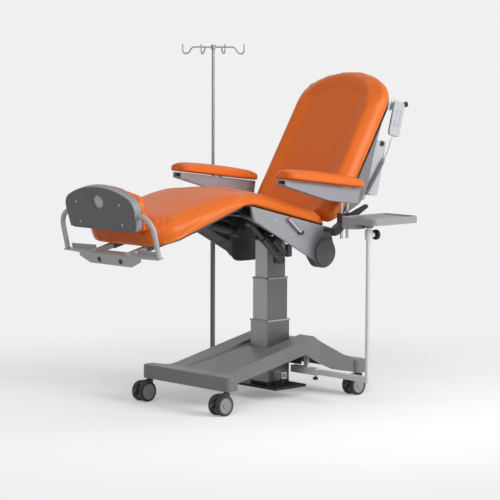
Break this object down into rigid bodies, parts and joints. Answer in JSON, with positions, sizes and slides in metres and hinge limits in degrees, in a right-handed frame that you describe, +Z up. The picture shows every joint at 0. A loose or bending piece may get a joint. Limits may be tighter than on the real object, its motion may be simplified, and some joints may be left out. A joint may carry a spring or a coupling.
{
  "type": "electric treatment couch",
  "caption": "Upholstered treatment couch on a castored lifting column, with folding back, seat and leg sections, armrests, footrest, instrument tray, drip stand and wired hand control.",
  "frame": {"origin": "on the floor, under the axis of the lifting column", "axes": "+X toward the head end, +Y to the drip stand's side, +Z up"},
  "size_m": [1.8507, 1.3783, 1.748],
  "materials": {
    "base_grey": "fine satin moulding",
    "dark_steel": "black powder coat",
    "column_grey": "light grey satin coat",
    "tube_grey": "light grey satin coat",
    "black_plastic": "black moulding",
    "bright_steel": "polished",
    "light_plastic": "fine satin moulding",
    "drive_grey": "grey moulding",
    "upholstery": "soft vinyl with a fine grain",
    "castor_grey": "grey moulding",
    "tyre_grey": "grey tread",
    "pedal_grey": "grey moulding"
  },
  "bodies": {
    "base": {"base_cover": "base_grey", "base_frame": "dark_steel", "column_outer_tube": "column_grey", "accessory_sleeves": "tube_grey", "iv_bar": "tube_grey", "iv_pole": "tube_grey", "tray_bar": "tube_grey", "tray_pole": "tube_grey", "bar_thumb_screws": "black_plastic"},
    "iv_knob": {"iv_clamp_knob": "black_plastic"},
    "tray_knob": {"tray_clamp_knob": "black_plastic"},
    "iv_mast": {"iv_rod": "bright_steel"},
    "tray_stem": {"tray_rod": "bright_steel"},
    "tray": {"tray_top": "light_plastic"},
    "column_middle": {"column_mid_tube": "column_grey"},
    "column_upper": {"column_inner_tube": "column_grey", "column_head": "dark_steel"},
    "tilt_drive": {"tilt_actuator_housing": "drive_grey"},
    "tilt_drive_rod": {"tilt_actuator_rod": "bright_steel"},
    "seat": {"seat_frame": "dark_steel", "side_cover_left": "light_plastic", "side_cover_right": "light_plastic", "cover_end_caps": "black_plastic", "side_rails": "bright_steel", "seat_cushion": "upholstery", "leg_actuator_housing": "drive_grey", "back_actuator_housing": "drive_grey"},
    "leg_drive_rod": {"leg_actuator_rod": "bright_steel"},
    "back_drive_rod": {"back_actuator_rod": "bright_steel"},
    "leg": {"leg_frame": "dark_steel", "leg_cushion": "upholstery"},
    "footrest": {"footrest_bracket": "tube_grey", "footrest_plate": "light_plastic", "footrest_pad": "upholstery"},
    "back": {"back_frame": "dark_steel", "back_shell": "light_plastic", "back_cushion": "upholstery", "push_bar": "tube_grey", "rear_cover": "light_plastic", "handset": "light_plastic", "handset_cord": "light_plastic", "cord_gland": "black_plastic"},
    "arm_left": {"arm_support_left": "light_plastic", "arm_pad_left": "upholstery"},
    "arm_right": {"arm_support_right": "light_plastic", "arm_pad_right": "upholstery"},
    "arm_lock_left": {"arm_lever_left": "black_plastic"},
    "arm_lock_right": {"arm_lever_right": "black_plastic"},
    "castor_front_left": {"castor_fork_front_left": "castor_grey"},
    "wheels_front_left": {"castor_wheels_front_left": "tyre_grey"},
    "brake_front_left": {"castor_brake_front_left": "pedal_grey"},
    "castor_front_right": {"castor_fork_front_right": "castor_grey"},
    "wheels_front_right": {"castor_wheels_front_right": "tyre_grey"},
    "brake_front_right": {"castor_brake_front_right": "pedal_grey"},
    "castor_rear_left": {"castor_fork_rear_left": "castor_grey"},
    "wheels_rear_left": {"castor_wheels_rear_left": "tyre_grey"},
    "brake_rear_left": {"castor_brake_rear_left": "pedal_grey"},
    "castor_rear_right": {"castor_fork_rear_right": "castor_grey"},
    "wheels_rear_right": {"castor_wheels_rear_right": "tyre_grey"},
    "brake_rear_right": {"castor_brake_rear_right": "pedal_grey"}
  },
  "joints": [
    {"name": "lift", "type": "slide", "parent": "base", "child": "column_upper", "axis": [0, 0, 1], "range_m": [-0.348, 0.04]},
    {"name": "lift_middle", "type": "slide", "parent": "base", "child": "column_middle", "axis": [0, 0, 1], "range_m": [-0.174, 0.02]},
    {"name": "seat_tilt", "type": "hinge", "parent": "column_upper", "child": "seat", "pos_m": [0, 0, 0.815], "axis": [0, 1, 0], "range_deg": [-14, 10]},
    {"name": "tilt_drive_swing", "type": "hinge", "parent": "column_upper", "child": "tilt_drive", "pos_m": [-0.045, 0, 0.689], "axis": [0, 1, 0], "range_deg": [-13, 9.7]},
    {"name": "tilt_drive_stroke", "type": "slide", "parent": "tilt_drive", "child": "tilt_drive_rod", "axis": [-0.7277, 0, 0.6859], "range_m": [-0.0318, 0.0227]},
    {"name": "knee", "type": "hinge", "parent": "seat", "child": "leg", "pos_m": [-0.4223, 0, 0.9715], "axis": [0, -1, 0], "range_deg": [-27, 45]},
    {"name": "leg_drive_stroke", "type": "slide", "parent": "seat", "child": "leg_drive_rod", "axis": [0.9707, 0, -0.2402], "range_m": [-0.0393, 0.0655]},
    {"name": "back_recline", "type": "hinge", "parent": "seat", "child": "back", "pos_m": [0.16997, 0, 0.89003], "axis": [0, 1, 0], "range_deg": [-5, 72]},
    {"name": "back_drive_stroke", "type": "slide", "parent": "seat", "child": "back_drive_rod", "axis": [0.9707, 0, -0.2402], "range_m": [-0.1552, 0.0108]},
    {"name": "footrest_slide", "type": "slide", "parent": "leg", "child": "footrest", "axis": [-0.9724, 0, -0.2334], "range_m": [0, 0.15]},
    {"name": "arm_height_left", "type": "slide", "parent": "seat", "child": "arm_left", "axis": [0, 0, 1], "range_m": [0, 0.08]},
    {"name": "arm_height_right", "type": "slide", "parent": "seat", "child": "arm_right", "axis": [0, 0, 1], "range_m": [0, 0.08]},
    {"name": "arm_lock_left", "type": "hinge", "parent": "seat", "child": "arm_lock_left", "pos_m": [0.14199, -0.378, 0.91397], "axis": [0, 1, 0], "range_deg": [0, 70]},
    {"name": "arm_lock_right", "type": "hinge", "parent": "seat", "child": "arm_lock_right", "pos_m": [0.14199, 0.378, 0.91397], "axis": [0, 1, 0], "range_deg": [0, 70]},
    {"name": "tray_height", "type": "slide", "parent": "base", "child": "tray_stem", "axis": [0, 0, 1], "range_m": [0, 0.2]},
    {"name": "tray_swivel", "type": "hinge", "parent": "tray_stem", "child": "tray", "pos_m": [0.105, -0.573, 0.88], "axis": [0, 0, 1], "range_deg": [-90, 0]},
    {"name": "tray_clamp", "type": "hinge", "parent": "base", "child": "tray_knob", "pos_m": [0.15, -0.573, 0.836], "axis": [1, 0, 0], "range_deg": [0, 180]},
    {"name": "iv_height", "type": "slide", "parent": "base", "child": "iv_mast", "axis": [0, 0, 1], "range_m": [-0.35, 0.25]},
    {"name": "iv_clamp", "type": "hinge", "parent": "base", "child": "iv_knob", "pos_m": [0.145, 0.533, 1.04], "axis": [1, 0, 0], "range_deg": [0, 180]},
    {"name": "castor_swivel_front_left", "type": "hinge", "parent": "base", "child": "castor_front_left", "pos_m": [-0.557, -0.278, 0.11], "axis": [0, 0, 1], "continuous": true},
    {"name": "wheel_roll_front_left", "type": "hinge", "parent": "castor_front_left", "child": "wheels_front_left", "pos_m": [-0.591, -0.278, 0.05], "axis": [0, 1, 0], "continuous": true},
    {"name": "brake_press_front_left", "type": "hinge", "parent": "castor_front_left", "child": "brake_front_left", "pos_m": [-0.621, -0.278, 0.06], "axis": [0, -1, 0], "range_deg": [0, 20]},
    {"name": "castor_swivel_front_right", "type": "hinge", "parent": "base", "child": "castor_front_right", "pos_m": [-0.557, 0.278, 0.11], "axis": [0, 0, 1], "continuous": true},
    {"name": "wheel_roll_front_right", "type": "hinge", "parent": "castor_front_right", "child": "wheels_front_right", "pos_m": [-0.591, 0.278, 0.05], "axis": [0, 1, 0], "continuous": true},
    {"name": "brake_press_front_right", "type": "hinge", "parent": "castor_front_right", "child": "brake_front_right", "pos_m": [-0.621, 0.278, 0.06], "axis": [0, -1, 0], "range_deg": [0, 20]},
    {"name": "castor_swivel_rear_left", "type": "hinge", "parent": "base", "child": "castor_rear_left", "pos_m": [0.354, -0.278, 0.11], "axis": [0, 0, 1], "continuous": true},
    {"name": "wheel_roll_rear_left", "type": "hinge", "parent": "castor_rear_left", "child": "wheels_rear_left", "pos_m": [0.32, -0.278, 0.05], "axis": [0, 1, 0], "continuous": true},
    {"name": "brake_press_rear_left", "type": "hinge", "parent": "castor_rear_left", "child": "brake_rear_left", "pos_m": [0.29, -0.278, 0.06], "axis": [0, -1, 0], "range_deg": [0, 20]},
    {"name": "castor_swivel_rear_right", "type": "hinge", "parent": "base", "child": "castor_rear_right", "pos_m": [0.354, 0.278, 0.11], "axis": [0, 0, 1], "continuous": true},
    {"name": "wheel_roll_rear_right", "type": "hinge", "parent": "castor_rear_right", "child": "wheels_rear_right", "pos_m": [0.32, 0.278, 0.05], "axis": [0, 1, 0], "continuous": true},
    {"name": "brake_press_rear_right", "type": "hinge", "parent": "castor_rear_right", "child": "brake_rear_right", "pos_m": [0.29, 0.278, 0.06], "axis": [0, -1, 0], "range_deg": [0, 20]}
  ],
  "couplings": [
    {"joint": "lift_middle", "follows": "lift", "ratio": 0.5},
    {"joint": "tilt_drive_swing", "follows": "seat_tilt", "ratio": 0.818},
    {"joint": "tilt_drive_stroke", "follows": "seat_tilt", "m_per_rad": 0.124},
    {"joint": "leg_drive_stroke", "follows": "knee", "m_per_rad": 0.08092},
    {"joint": "back_drive_stroke", "follows": "back_recline", "m_per_rad": -0.11989}
  ]
}
